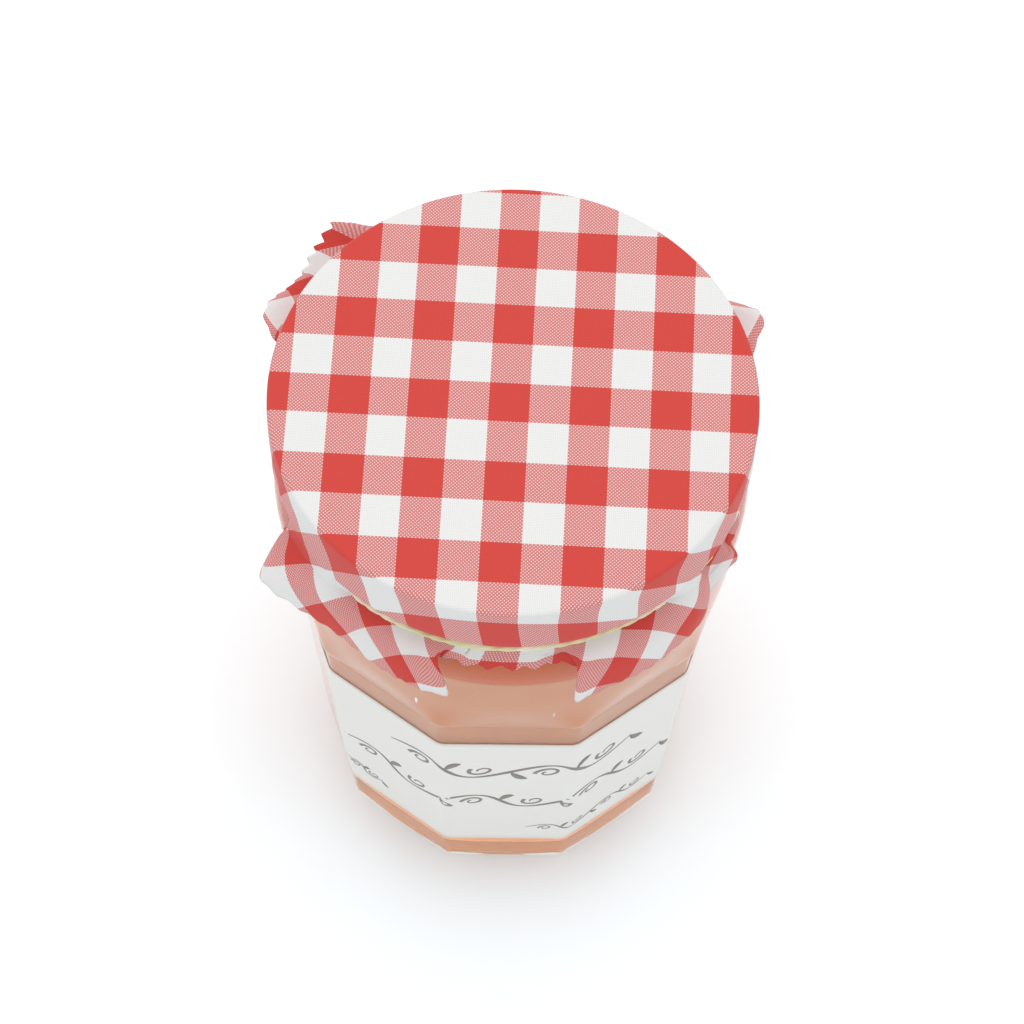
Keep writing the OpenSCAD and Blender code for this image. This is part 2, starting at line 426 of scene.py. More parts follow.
@dataclass(frozen=True)
class GinghamCotton:
    """Yarn-dyed plain-weave cotton: red and white stripes both ways, dotted pink where they cross."""

    red: str = "#d14841"
    white: str = "#e6e6e5"
    cell_u_mm: float = 7.0
    cell_v_mm: float = 7.86
    shift_u_mm: float = -0.6
    shift_v_mm: float = -1.55
    # The real yarns lie about 0.19 mm apart; they are drawn wider so that the weave still shows.
    yarn_mm: float = 0.32
    yarn_relief_mm: float = 0.05
    # Painted shade: the colour is darker in the gaps between the yarns and a little lighter on their crowns.
    painted_yarn_shading: tuple[float, float] = (0.86, 1.02)
    slub_mm: float = 3.0
    slub_depth_mm: float = 0.03
    # Red yarns are the thicker ones, so a white yarn shows as a dot among them.
    white_dot_edge: float = 0.25
    # The share of red where only one of the two yarns is red, as seen from far off.
    mixed_share: float = 0.65
    # How much of the drawn yarns shows through that evened-out colour.
    weave_contrast: float = 0.5

    def make(self) -> bpy.types.Material:
        """Build the material from the cloth's own flat coordinates, in metres, in its UV map.

        Returns:
            The finished material.
        """
        material, tree = new_material("gingham_woven_cotton")
        flat = add_node(tree, "ShaderNodeUVMap", {"uv_map": ClothCover.FLAT_MAP})
        split = add_node(tree, "ShaderNodeSeparateXYZ", Vector=(flat, "UV"))

        def yarn(axis: str) -> tuple[Link, Link]:
            """The number of the yarn under a point, and how far across it the point lies."""
            along = calculated(tree, "DIVIDE", (split, axis), self.yarn_mm * MM)
            return calculated(tree, "FLOOR", along), calculated(tree, "FRACT", along)

        def dyed(number: Link, cell_mm: float, shift_mm: float) -> Link:
            """One on a red yarn and nothing on a white one.

            Args:
                number: The number of the yarn.
                cell_mm: Width of a stripe of the check.
                shift_mm: How far the check lies from the middle of the cloth.

            Returns:
                A link to the one or nothing.
            """
            start = 0.5 * self.yarn_mm - shift_mm + 0.5 * cell_mm
            repeat = 2 * cell_mm
            place = calculated(tree, "MULTIPLY_ADD", number, self.yarn_mm / repeat, start / repeat)
            return calculated(tree, "LESS_THAN", calculated(tree, "FRACT", place), 0.5)

        def pick(chooser: Any, if_one: Link, if_none: Link) -> Link:
            """Choose between two values, or mix them."""
            kind = {"data_type": "FLOAT"}
            return (add_node(tree, "ShaderNodeMix", kind, _0=chooser, _2=if_none, _3=if_one), "Result")

        def crown(place: Link) -> Link:
            """A round back that is one in the middle and nothing at both ends."""
            return calculated(tree, "SINE", calculated(tree, "MULTIPLY", place, math.pi))

        warp_no, warp_at = yarn("X")
        weft_no, weft_at = yarn("Y")
        warp_red = dyed(warp_no, self.cell_u_mm, self.shift_u_mm)
        weft_red = dyed(weft_no, self.cell_v_mm, self.shift_v_mm)
        crossing = calculated(tree, "MULTIPLY", calculated(tree, "ADD", warp_no, weft_no), 0.5)
        warp_on_top = calculated(tree, "LESS_THAN", calculated(tree, "FRACT", crossing), 0.25)

        top_red = pick(warp_on_top, warp_red, weft_red)
        under_red = pick(warp_on_top, weft_red, warp_red)
        across = pick(warp_on_top, warp_at, weft_at)
        along = pick(warp_on_top, weft_at, warp_at)
        relief = calculated(tree, "MULTIPLY", crown(across), crown(along))
        white_dot = calculated(tree, "GREATER_THAN", relief, self.white_dot_edge)
        beside_dot = calculated(tree, "SUBTRACT", 1.0, white_dot)
        drawn = calculated(tree, "MAXIMUM", top_red, calculated(tree, "MULTIPLY", beside_dot, under_red))

        both = calculated(tree, "MULTIPLY", warp_red, weft_red)
        either = calculated(tree, "MAXIMUM", warp_red, weft_red)
        one_only = calculated(tree, "SUBTRACT", either, both)
        even = calculated(tree, "ADD", calculated(tree, "MULTIPLY", one_only, self.mixed_share), both)
        red_share = pick(self.weave_contrast, drawn, even)

        colour = blended(tree, red_share, self.white, self.red)
        weave = bump(tree, relief, self.yarn_relief_mm, 0.5)
        slubs = noise(tree, self.slub_mm, Detail=2.0)
        # Painted shade: the weave's relief darkens the colour between the yarns.
        cotton = principled(
            tree,
            Base_Color=shaded(tree, colour, ramp(tree, relief, result=self.painted_yarn_shading)),
            Roughness=0.85,
            Specular_IOR_Level=0.2,
            Sheen_Weight=0.12,
            Sheen_Roughness=0.5,
            Normal=bump(tree, slubs, self.slub_depth_mm, 0.4, Normal=weave),
        )
        close_material(tree, cotton)
        return material


@dataclass(frozen=True)
class UncoatedPaper:
    """Uncoated label stock, off-white with a faint fibre grain and no gloss."""

    tone: str = "#f0efeb"
    fibre_mm: float = 0.5
    fibre_depth_mm: float = 0.01
    fibre_shade: tuple[float, float] = (0.975, 1.02)
    translucency: float = 0.12

    def make(self) -> bpy.types.Material:
        """Build the material.

        Returns:
            The finished material.
        """
        material, tree = new_material("uncoated_label_paper")
        fibre = noise(tree, self.fibre_mm, Detail=4.0)
        tone = shaded(tree, linear(self.tone)[:3], ramp(tree, fibre, result=self.fibre_shade))
        paper = principled(
            tree,
            Base_Color=tone,
            Roughness=0.8,
            Specular_IOR_Level=0.25,
            Normal=bump(tree, fibre, self.fibre_depth_mm, 0.3),
        )
        through = add_node(tree, "ShaderNodeBsdfTranslucent", Color=tone)
        close_material(tree, mixed_shader(tree, self.translucency, paper, (through, "BSDF")))
        return material


@dataclass(frozen=True)
class PrintingInk:
    """Offset ink on paper, flat and dull, a little uneven where the paper took less."""

    tone: str = "#86807a"
    patch_mm: float = 1.5
    patch_shade: tuple[float, float] = (0.85, 1.3)

    def make(self) -> bpy.types.Material:
        """Build the material.

        Returns:
            The finished material.
        """
        material, tree = new_material("grey_offset_ink")
        patches = ramp(tree, noise(tree, self.patch_mm, Detail=2.0), result=self.patch_shade)
        tone = shaded(tree, linear(self.tone)[:3], patches)
        close_material(tree, principled(tree, Base_Color=tone, Roughness=0.7))
        return material


@dataclass(frozen=True)
class LacqueredTinplate:
    """Tinplate under a clear gold-tinged lacquer, drawn and curled: smooth with a soft gloss."""

    tone: str = "#d8cfae"
    patch_mm: float = 4.0
    roughness: tuple[float, float] = (0.25, 0.4)

    def make(self) -> bpy.types.Material:
        """Build the material.

        Returns:
            The finished material.
        """
        material, tree = new_material("lacquered_tinplate")
        rough = ramp(tree, noise(tree, self.patch_mm, Detail=2.0), result=self.roughness)
        tin = principled(
            tree, Base_Color=linear(self.tone), Metallic=1.0, Roughness=rough, Coat_Weight=0.4
        )
        close_material(tree, tin)
        return material


@dataclass(frozen=True)
class CoveredElastic:
    """Rubber core under pale cotton yarn, twisted: a matt cream cord with a green-yellow cast."""

    cream: str = "#ece4ca"
    green: str = "#d8d8a2"
    patch_mm: float = 7.0
    fuzz_mm: float = 0.25
    fuzz_depth_mm: float = 0.05

    def make(self) -> bpy.types.Material:
        """Build the material.

        Returns:
            The finished material.
        """
        material, tree = new_material("covered_elastic_yarn")
        share = ramp(tree, noise(tree, self.patch_mm, Detail=2.0), (0.4, 0.6))
        fuzz = noise(tree, self.fuzz_mm, Detail=2.0)
        yarn = principled(
            tree,
            Base_Color=blended(tree, share, self.cream, self.green),
            Roughness=0.8,
            Sheen_Weight=0.15,
            Normal=bump(tree, fuzz, self.fuzz_depth_mm, 0.5),
        )
        close_material(tree, yarn)
        return material


@dataclass(frozen=True)
class StudioPaper:
    """Seamless white background paper, matt and even."""

    tone: str = "#f7fcff"
    glow: float = 0.09

    def make(self) -> bpy.types.Material:
        """Build the material.

        Returns:
            The finished material.
        """
        material, tree = new_material("seamless_studio_paper")
        paper = principled(
            tree,
            Base_Color=linear(self.tone),
            Roughness=0.9,
            Specular_IOR_Level=0.1,
            Emission_Color=linear(self.tone),
            Emission_Strength=self.glow,
        )
        close_material(tree, paper)
        return material


# ---------------------------------------------------------------- meshes


def mesh_object(
    name: str, points: np.ndarray, faces: Sequence[Sequence[int]], material: bpy.types.Material
) -> bpy.types.Object:
    """Make a smooth-shaded mesh object and link it to the scene.

    Args:
        name: The piece's name.
        points: Vertex positions in metres, one row each.
        faces: Vertex numbers of each face, anticlockwise from outside.
        material: The only material of the piece.

    Returns:
        The new object, at the origin.
    """
    mesh = bpy.data.meshes.new(name)
    mesh.from_pydata([tuple(p) for p in points.tolist()], [], [tuple(f) for f in faces])
    mesh.validate()
    mesh.polygons.foreach_set("use_smooth", [True] * len(mesh.polygons))
    mesh.materials.append(material)
    made = bpy.data.objects.new(name, mesh)
    bpy.context.scene.collection.objects.link(made)
    return made


def lofted(rings: np.ndarray) -> Faces:
    """Faces between rings of points that each run all the way round.

    Args:
        rings: Points as (ring, column, xyz), with columns that turn anticlockwise seen from
            above and rings that go up on the outside.

    Returns:
        Quads as vertex numbers into the rings laid end to end.
    """
    count, columns = rings.shape[:2]
    faces = []
    for low in range(0, (count - 1) * columns, columns):
        high = low + columns
        for c in range(columns):
            n = (c + 1) % columns
            faces.append((low + c, low + n, high + n, high + c))
    return faces


def closed_loft(rings: np.ndarray) -> tuple[np.ndarray, Faces]:
    """A closed skin over rings, with a middle point at the first and the last ring.

    Args:
        rings: Points as (ring, column, xyz).

    Returns:
        The points, one row each, and the faces.
    """
    count, columns = rings.shape[:2]
    faces = lofted(rings)
    first, last = count * columns, count * columns + 1
    top = (count - 1) * columns
    faces += [(first, (c + 1) % columns, c) for c in range(columns)]
    faces += [(last, top + c, top + (c + 1) % columns) for c in range(columns)]
    middles = np.stack([rings[0].mean(axis=0), rings[-1].mean(axis=0)])
    return np.concatenate([rings.reshape(-1, 3), middles]), faces


def around(angles: np.ndarray, radii: np.ndarray, heights: np.ndarray | float) -> np.ndarray:
    """Points round the axis. Angle nothing is the front, and angles grow towards +X.

    Args:
        angles: Angles in radians.
        radii: Distances from the axis in metres.
        heights: Heights in metres.

    Returns:
        Points, one row each.
    """
    level = np.broadcast_to(heights, np.shape(angles))
    return np.stack([radii * np.sin(angles), -radii * np.cos(angles), level], axis=-1)


def quarter(
    middle: tuple[float, float], radii: tuple[float, float], turn: tuple[float, float], steps: int
) -> list[tuple[float, float]]:
    """Points of an elliptic arc in a half outline.

    Args:
        middle: The arc's centre, as distance from the axis and height.
        radii: Its reach outward and upward.
        turn: Its first and last angle in degrees, from straight out.
        steps: How many steps to take.

    Returns:
        Pairs of distance from the axis and height.
    """
    angles = [math.radians(turn[0] + (turn[1] - turn[0]) * i / steps) for i in range(steps + 1)]
    return [(middle[0] + radii[0] * math.cos(a), middle[1] + radii[1] * math.sin(a)) for a in angles]


def smooth_step(x: np.ndarray | float) -> np.ndarray | float:
    """Nothing below zero, one above one, and a smooth climb between."""
    held = np.clip(x, 0.0, 1.0)
    return held * held * (3 - 2 * held)


# ---------------------------------------------------------------- jar, jam and label


@dataclass(frozen=True)
class Section:
    """One level of the jar: a polygon with rounded corners, or a circle."""

    height: float
    flat_r: float
    corner_r: float


@dataclass
class GlassJar:
    """The moulded jar: flat facets below a small ledge, a round shoulder, a neck and a lip.

    All sizes are in millimetres, and the outside follows the frame's jar.
    """

    facets: int = 10
    foot_flat_r: float = 34.5
    ledge_flat_r: float = 39.4
    ledge_z: float = 73.3
    ledge_step: float = 0.45
    corner_r: float = 3.2
    blend_h: float = 13.0
    shoulder_r: float = 42.85
    shoulder_z: float = 99.0
    shoulder_h: float = 8.5
    neck_r: float = 40.0
    rim_z: float = 124.8
    lip_r: float = 0.9
    wall: float = 2.9
    floor_t: float = 5.5
    push_up: float = 1.4
    foot_r: float = 36.1
    steps_per_facet: tuple[float, ...] = (0.0, 5.0, 10.0, 13.5, 15.4, 16.3, 16.9, 17.4, 17.8)

    def angles(self) -> np.ndarray:
        """Angles of the columns, closer together near the facets' corners.

        Returns:
            Angles in radians, all the way round.
        """
        step = 360 / self.facets
        half = [*self.steps_per_facet, step / 2]
        one = [*(-x for x in reversed(half[1:])), *half[:-1]]
        return np.radians([i * step + x for i in range(self.facets) for x in one])

    def facet_at(self, z: float) -> float:
        """Distance from the axis to a facet at height z."""
        return self.foot_flat_r + (self.ledge_flat_r - self.foot_flat_r) * z / self.ledge_z

    def body_at(self, z: float) -> float:
        """Radius of the round body at height z."""
        return self.foot_r + (self.shoulder_r - self.foot_r) * z / self.shoulder_z

    def section_radius(self, angles: np.ndarray, flat_r: float, corner_r: float) -> np.ndarray:
        """Radius of a level at each angle.

        Args:
            angles: Angles in radians.
            flat_r: Distance from the axis to the flats.
            corner_r: Radius of the rounding between two flats; as large as flat_r is a circle.

        Returns:
            Distances from the axis, in the units of flat_r.
        """
        half = math.pi / self.facets
        off = np.abs((angles + half) % (2 * half) - half)
        turn = half - off
        middle = (flat_r - corner_r) / math.cos(half)
        meets = math.atan2(corner_r * math.sin(half), middle + corner_r * math.cos(half))
        inside = np.maximum(corner_r**2 - (middle * np.sin(turn)) ** 2, 0)
        return np.where(turn < meets, middle * np.cos(turn) + np.sqrt(inside), flat_r / np.cos(off))

    def outside(self) -> list[Section]:
        """The outer levels, from the middle of the foot up to the lip.

        Returns:
            Levels from low to high.
        """
        c = self.corner_r
        foot = [
            Section(self.push_up, 8.0, 8.0),
            Section(self.push_up - 0.1, 24.0, 24.0),
            Section(self.push_up - 0.5, 28.2, 28.2),
            Section(0.15, 30.2, 30.2),
            Section(0.0, 31.0, 31.0),
            Section(0.0, 32.2, 26.0),
        ]
        heel = [
            Section(z, r, 26.0 + (c - 26.0) * i / 6)
            for i, (r, z) in enumerate(
                quarter((32.2, 2.6), (self.facet_at(2.6) - 32.2, 2.6), (-90, 0), 6)
            )
        ][1:]
        levels = [4.0, 8.0, 20.0, 35.0, 50.0, 64.0, 70.0, self.ledge_z - 0.6, self.ledge_z - 0.2]
        facets = [Section(z, self.facet_at(z), c) for z in levels]
        step = self.ledge_step
        low_z, high_z = self.ledge_z + step, self.ledge_z + self.blend_h
        low_r = self.facet_at(self.ledge_z) + step
        ledge = [
            Section(self.ledge_z, self.facet_at(self.ledge_z) + 0.1 * step, c + 0.2),
            Section(self.ledge_z + 0.5 * step, low_r - 0.4 * step, c + 0.6),
            Section(low_z, low_r, c + 1.2),
        ]
        blend = []
        for i in range(1, 13):
            t = i / 12
            flat = low_r + (self.body_at(high_z) - low_r) * float(smooth_step(t) * 0.5 + t * 0.5)
            share = float(smooth_step(t)) ** 0.7
            blend.append(Section(low_z + (high_z - low_z) * t, flat, (c + 1.2) + (flat - c - 1.2) * share))
        upper = [Section(z, self.body_at(z), self.body_at(z)) for z in (89.0, 93.0, 97.0)]
        shoulder = quarter(
            (self.neck_r, self.shoulder_z), (self.shoulder_r - self.neck_r, self.shoulder_h), (0, 90), 10
        )
        lip = quarter(
            (self.neck_r - self.lip_r, self.rim_z - self.lip_r), (self.lip_r, self.lip_r), (0, 90), 5
        )
        return [*foot, *heel, *facets, *ledge, *blend, *upper, *(Section(z, r, r) for r, z in shoulder + lip)]

    def inside(self, proud: float = 0.0) -> list[Section]:
        """The inner levels, from the mouth down to the middle of the floor.

        Args:
            proud: How far to stand into the glass, for what fills the jar.

        Returns:
            Levels from high to low.
        """
        mouth = self.neck_r - self.wall + proud
        high = self.shoulder_r - self.wall + proud
        arc = quarter(
            (mouth, self.shoulder_z - self.wall / 2), (high - mouth, self.shoulder_h), (90, 0), 8
        )
        soft = 12.0
        floor_z = self.floor_t - proud
        bend = 5.0
        low = self.facet_at(self.floor_t) - self.wall + proud
        upper = [Section(z, r, r) for r, z in arc]
        blend_z = self.ledge_z + self.blend_h
        middle = [Section(blend_z, self.body_at(blend_z) - self.wall + proud, 30.0)]
        straight = [
            Section(z, self.facet_at(z) - self.wall + proud, soft)
            for z in (self.ledge_z, 60.0, 40.0, 20.0)
        ]
        turn = [
            Section(z, r, soft + (low - soft) * 0.5 * i / 6)
            for i, (r, z) in enumerate(quarter((low - bend, floor_z + bend), (bend, bend), (0, -90), 6))
        ]
        dome = [Section(floor_z + 0.3, 20.0, 20.0), Section(floor_z + 0.5, 8.0, 8.0)]
        return [*upper, *middle, *straight, *turn, *dome]

    def rings(self, sections: Sequence[Section]) -> np.ndarray:
        """Points of the levels, as (level, column, xyz) in metres."""
        angles = self.angles()
        return np.stack(
            [
                around(angles, self.section_radius(angles, s.flat_r, s.corner_r) * MM, s.height * MM)
                for s in sections
            ]
        )

    def surface(self, angles: np.ndarray, z: float, lift: float) -> np.ndarray:
        """Points that stand off a facet's surface.

        Args:
            angles: Angles in radians.
            z: Height in millimetres, below the ledge.
            lift: Distance off the glass in millimetres.

        Returns:
            Points in metres, one row each.
        """
        radii = self.section_radius(angles, self.facet_at(z) + lift, self.corner_r + lift)
        return around(angles, radii * MM, z * MM)

    def build(self, finish: MouldedGlass) -> bpy.types.Object:
        """Make the jar as one closed skin, outside and inside.

        Args:
            finish: The glass.

        Returns:
            The jar.
        """
        mouth = self.neck_r - self.wall
        over_lip = [
            Section(z, r, r)
            for r, z in quarter(
                (mouth + self.lip_r, self.rim_z - self.lip_r), (self.lip_r, self.lip_r), (90, 180), 5
            )
        ]
        rings = self.rings([*self.outside(), *over_lip, *self.inside()])
        points, faces = closed_loft(rings)
        piece = mesh_object("jar_glass", points, faces, finish.make())
        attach(piece, BODY)
        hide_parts("jar")
        return piece


@dataclass
class JamFill:
    """The jam, from the floor of the jar up to its level in the neck."""

    jar: GlassJar
    level_z: float
    into_wall: float = 0.15

    def build(self, finish: PeachJam) -> bpy.types.Object:
        """Make the jam so that it reaches just into the glass, with no air gap.

        Args:
            finish: The jam.

        Returns:
            The jam.
        """
        sides = [s for s in reversed(self.jar.inside(self.into_wall)) if s.height < self.level_z]
        top = self.jar.neck_r - self.jar.wall + self.into_wall
        surface = [
            Section(self.level_z, top, top),
            Section(self.level_z - 0.35, top - 0.8, top - 0.8),
            Section(self.level_z - 0.5, top - 2.5, top - 2.5),
            Section(self.level_z - 0.5, 15.0, 15.0),
        ]
        points, faces = closed_loft(self.jar.rings([*sides, *surface]))
        piece = mesh_object("jam_fill", points, faces, finish.make())
        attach(piece, BODY)
        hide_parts("jam")
        return piece


@dataclass
class PaperLabel:
    """The label round the front facets, and the ornament printed on it, in millimetres."""

    jar: GlassJar
    low_z: float
    high_z: float
    tail: float = 7.0
    gap: float = 0.06
    paper_t: float = 0.16
    ink_t: float = 0.02
    ink_gap: float = 0.005

    def reach(self, z: float) -> float:
        """Half of the label's length along the glass at height z."""
        facet_w = 2 * self.jar.facet_at(z) * math.tan(math.pi / self.jar.facets)
        return 1.5 * facet_w + self.tail

    def points_at(self, along: np.ndarray, z: float, lift: float) -> np.ndarray:
        """Points on the label, found by their distance along the glass from its middle.

        Args:
            along: Distances along the surface, to the right of the middle.
            z: Height.
            lift: Distance off the glass.

        Returns:
            Points in metres, one row each.
        """
        angles = np.radians(np.linspace(-80, 80, 1601))
        line = self.jar.surface(angles, z, lift) / MM
        run = np.concatenate([[0.0], np.cumsum(np.linalg.norm(np.diff(line, axis=0), axis=1))])
        run -= np.interp(0.0, angles, run)
        return self.jar.surface(np.interp(along, run, angles), z, lift)

    def build(self, finish: UncoatedPaper) -> bpy.types.Object:
        """Make the paper as a closed sheet with a front, a back and edges.

        Args:
            finish: The paper.

        Returns:
            The label.
        """
        columns = 181
        levels = np.linspace(self.low_z, self.high_z, 27)
        layers = []
        for lift in (self.gap, self.gap + self.paper_t):
            rows = []
            for z in levels:
                along = np.linspace(-1, 1, columns) * self.reach(z)
                rows.append(self.points_at(along, z, lift))
            layers.append(np.stack(rows))
        points = np.concatenate([layer.reshape(-1, 3) for layer in layers])
        rows_n, size = len(levels), len(levels) * columns
        faces = []
        for r in range(rows_n - 1):
            for c in range(columns - 1):
                a = r * columns + c
                faces.append((size + a, size + a + 1, size + a + columns + 1, size + a + columns))
                faces.append((a, a + columns, a + columns + 1, a + 1))
        rim = list(range(columns))
        rim += [r * columns + columns - 1 for r in range(1, rows_n)]
        rim += [(rows_n - 1) * columns + c for c in range(columns - 2, -1, -1)]
        rim += [r * columns for r in range(rows_n - 2, 0, -1)]
        for a, b in zip(rim, rim[1:] + rim[:1]):
            faces.append((a, b, size + b, size + a))
        piece = mesh_object("label_paper", points, faces, finish.make())
        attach(piece, BODY)
        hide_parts("label")
        return piece

    def stroke(self, path: np.ndarray, widths: np.ndarray) -> tuple[np.ndarray, Faces]:
        """One pen stroke laid on the label as a thin closed strip.

        Args:
            path: Points along the stroke as (along, height) in millimetres.
            widths: Width of the stroke at each point in millimetres.

        Returns:
            Points in metres, and faces.
        """
        ahead = np.gradient(path, axis=0)
        ahead /= np.maximum(np.linalg.norm(ahead, axis=1, keepdims=True), 1e-9)
        side = np.stack([-ahead[:, 1], ahead[:, 0]], axis=1) * widths[:, None] / 2
        low = self.gap + self.paper_t + self.ink_gap
        high = low + self.ink_t
        left, right = path - side, path + side
        points = []
        for edge, lift in ((left, low), (right, low), (right, high), (left, high)):
            points.append([self.points_at(np.array([s]), z, lift)[0] for s, z in edge])
        count = len(path)
        faces = []
        for k in range(4):
            a, b = k * count, ((k + 1) % 4) * count
            faces += [(a + i, b + i, b + i + 1, a + i + 1) for i in range(count - 1)]
        faces.append((0, 3 * count, 2 * count, count))
        faces.append((count - 1, 2 * count - 1, 3 * count - 1, 4 * count - 1))
        return np.concatenate([np.array(p) for p in points]), faces

    def vine(
        self, start: float, end: float, middle: float, size: float
    ) -> list[tuple[np.ndarray, np.ndarray]]:
        """A running vine of scrolls and leaves, made of pen strokes.

        Args:
            start: Where it begins, along the label.
            end: Where it ends, along the label.
            middle: Height of its middle.
            size: Height of its waves above the middle.

        Returns:
            Strokes, each a path and its widths, in millimetres.
        """
        wave = 7.2 * size
        lean = 0.45
        turns = max(1, round((end - start) / wave))
        wave = (end - start) / turns
        t = np.linspace(0, turns, 26 * turns + 1)
        rise = size * np.sin(2 * math.pi * t)
        stem = np.stack([start + t * wave + lean * rise, middle + rise], axis=1)
        pen = size * (0.15 + 0.16 * np.abs(np.cos(2 * math.pi * t)))
        strokes = [(stem, pen * np.clip(np.minimum(t, turns - t) * 3 + 0.3, 0.3, 1.0))]
        for k in range(2 * turns):
            up = 1 if k % 2 == 0 else -1
            at = start + (k + 0.5) * wave / 2
            a = np.linspace(0, 2.3 * math.pi, 30)
            r = size * 0.72 * (1 - 0.72 * a / a[-1])
            x, y = r * np.cos(a + math.pi * 0.9), -up * r * np.sin(a + math.pi * 0.9)
            curl = np.stack([at + size * 0.15 + x + lean * y, middle - up * 0.1 * size + y], axis=1)
            strokes.append((curl, size * np.linspace(0.26, 0.12, 30)))
            b = np.linspace(0, 1, 12)
            leaf_x = at + wave * 0.24 + size * 0.95 * b
            leaf_y = middle + up * size * (0.15 + 0.95 * b + 0.25 * np.sin(math.pi * b))
            leaf_w = size * (0.04 + 0.5 * np.sin(math.pi * b) ** 0.8)
            strokes.append((np.stack([leaf_x, leaf_y], axis=1), leaf_w))
        return strokes

    def build_ornament(self, finish: PrintingInk) -> bpy.types.Object:
        """Make the printed ornament: rows of vine scroll where a label carries its print.

        Args:
            finish: The ink.

        Returns:
            The ornament, as one piece.
        """
        height = self.high_z - self.low_z
        rows = (
            (-24.0, 26.0, self.low_z + 0.73 * height, 3.3),
            (-36.0, 34.0, self.low_z + 0.42 * height, 2.9),
            (-36.0, -27.0, self.low_z + 0.16 * height, 1.7),
            (4.0, 32.0, self.low_z + 0.13 * height, 1.7),
        )
        points, faces, count = [], [], 0
        for start, end, middle, size in rows:
            for path, widths in self.vine(start, end, middle, size):
                stroke_points, stroke_faces = self.stroke(path, widths)
                points.append(stroke_points)
                faces += [tuple(i + count for i in f) for f in stroke_faces]
                count += len(stroke_points)
        piece = mesh_object("label_ornament", np.concatenate(points), faces, finish.make())
        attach(piece, BODY)
        return piece


# ---------------------------------------------------------------- cloth cover and tie


@dataclass(frozen=True)
class Hem:
    """One place on the hem: its direction in the flat cut, and where it hangs. Degrees and mm."""

    flat_deg: float
    deg: float
    radius: float
    height: float


# The hem from the front round each side to the back, with a flap at each of the four diagonals.
# Its places are chosen one by one.
FRONT_HEM = (
    Hem(0.0, 0.0, 43.9, 106.3),
    Hem(5.0, 6.8, 43.9, 106.3),
    Hem(9.0, 12.0, 43.5, 106.9),
    Hem(11.5, 15.5, 43.7, 106.6),
)
BACK_HEM = (Hem(172.0, 169.0, 43.5, 107.0), Hem(180.0, 180.0, 43.2, 107.0))
SIDE_HEM = (Hem(75.0, 78.0, 41.5, 108.6), Hem(90.0, 90.0, 41.4, 109.0), Hem(105.0, 102.0, 41.5, 109.0))
FRONT_LEFT_FLAP = (
    Hem(13.3, 17.5, 45.0, 105.6),
    Hem(14.5, 14.0, 46.6, 104.4),
    Hem(15.5, 10.5, 48.0, 103.0),
    Hem(17.0, 11.5, 48.6, 102.7),
    Hem(19.0, 15.5, 48.6, 102.7),
    Hem(22.7, 18.7, 48.4, 103.0),
    Hem(29.4, 25.0, 47.8, 103.0),
    Hem(36.0, 33.0, 46.9, 103.0),
    Hem(41.0, 39.5, 46.9, 103.4),
    Hem(47.0, 47.0, 48.6, 104.4),
    Hem(52.0, 53.5, 50.8, 105.3),
    Hem(53.5, 56.0, 51.4, 105.6),
    Hem(56.0, 58.5, 49.5, 106.5),
    Hem(60.0, 61.0, 45.0, 107.5),
    Hem(66.0, 67.0, 42.9, 107.7),
)
FRONT_RIGHT_FLAP = (
    Hem(13.3, 18.5, 45.2, 105.5),
    Hem(14.5, 17.0, 47.0, 104.0),
    Hem(15.5, 15.8, 48.9, 102.6),
    Hem(17.0, 16.8, 49.3, 102.5),
    Hem(19.0, 19.5, 48.7, 102.8),
    Hem(22.7, 25.0, 48.3, 103.0),
    Hem(29.4, 32.7, 48.0, 103.0),
    Hem(36.0, 40.5, 47.2, 103.0),
    Hem(41.0, 45.7, 46.9, 103.2),
    Hem(45.0, 49.7, 46.3, 103.7),
    Hem(48.0, 53.5, 44.8, 105.0),
    Hem(50.5, 57.0, 44.8, 106.5),
    Hem(53.0, 61.0, 45.2, 107.2),
    Hem(56.0, 63.5, 45.4, 108.0),
    Hem(60.0, 65.5, 43.4, 108.2),
    Hem(66.0, 70.5, 43.0, 108.0),
)
BACK_LEFT_FLAP = (
    Hem(114.0, 106.5, 43.3, 109.0),
    Hem(120.0, 110.5, 46.0, 111.0),
    Hem(124.0, 113.0, 49.5, 112.6),
    Hem(127.0, 116.0, 51.2, 113.2),
    Hem(131.0, 119.0, 51.2, 112.8),
    Hem(137.0, 123.0, 50.4, 112.4),
    Hem(143.0, 127.0, 50.4, 112.6),
    Hem(149.0, 131.0, 51.6, 113.8),
    Hem(155.0, 135.0, 52.4, 115.0),
    Hem(158.5, 137.5, 53.0, 116.4),
    Hem(161.5, 140.0, 52.4, 116.0),
    Hem(164.5, 145.0, 49.5, 114.0),
    Hem(168.0, 157.0, 45.0, 110.5),
)
BACK_RIGHT_FLAP = (
    Hem(114.0, 108.0, 43.3, 109.0),
    Hem(120.0, 113.0, 45.5, 110.5),
    Hem(124.0, 117.0, 49.0, 112.2),
    Hem(127.0, 120.5, 51.4, 113.2),
    Hem(131.0, 124.0, 50.5, 112.4),
    Hem(137.0, 129.0, 48.5, 110.5),
    Hem(145.0, 137.0, 46.5, 108.0),
    Hem(152.0, 145.0, 47.8, 106.5),
    Hem(158.0, 152.0, 48.0, 105.5),
    Hem(163.0, 158.5, 47.0, 105.5),
    Hem(168.0, 164.0, 44.8, 106.3),
)


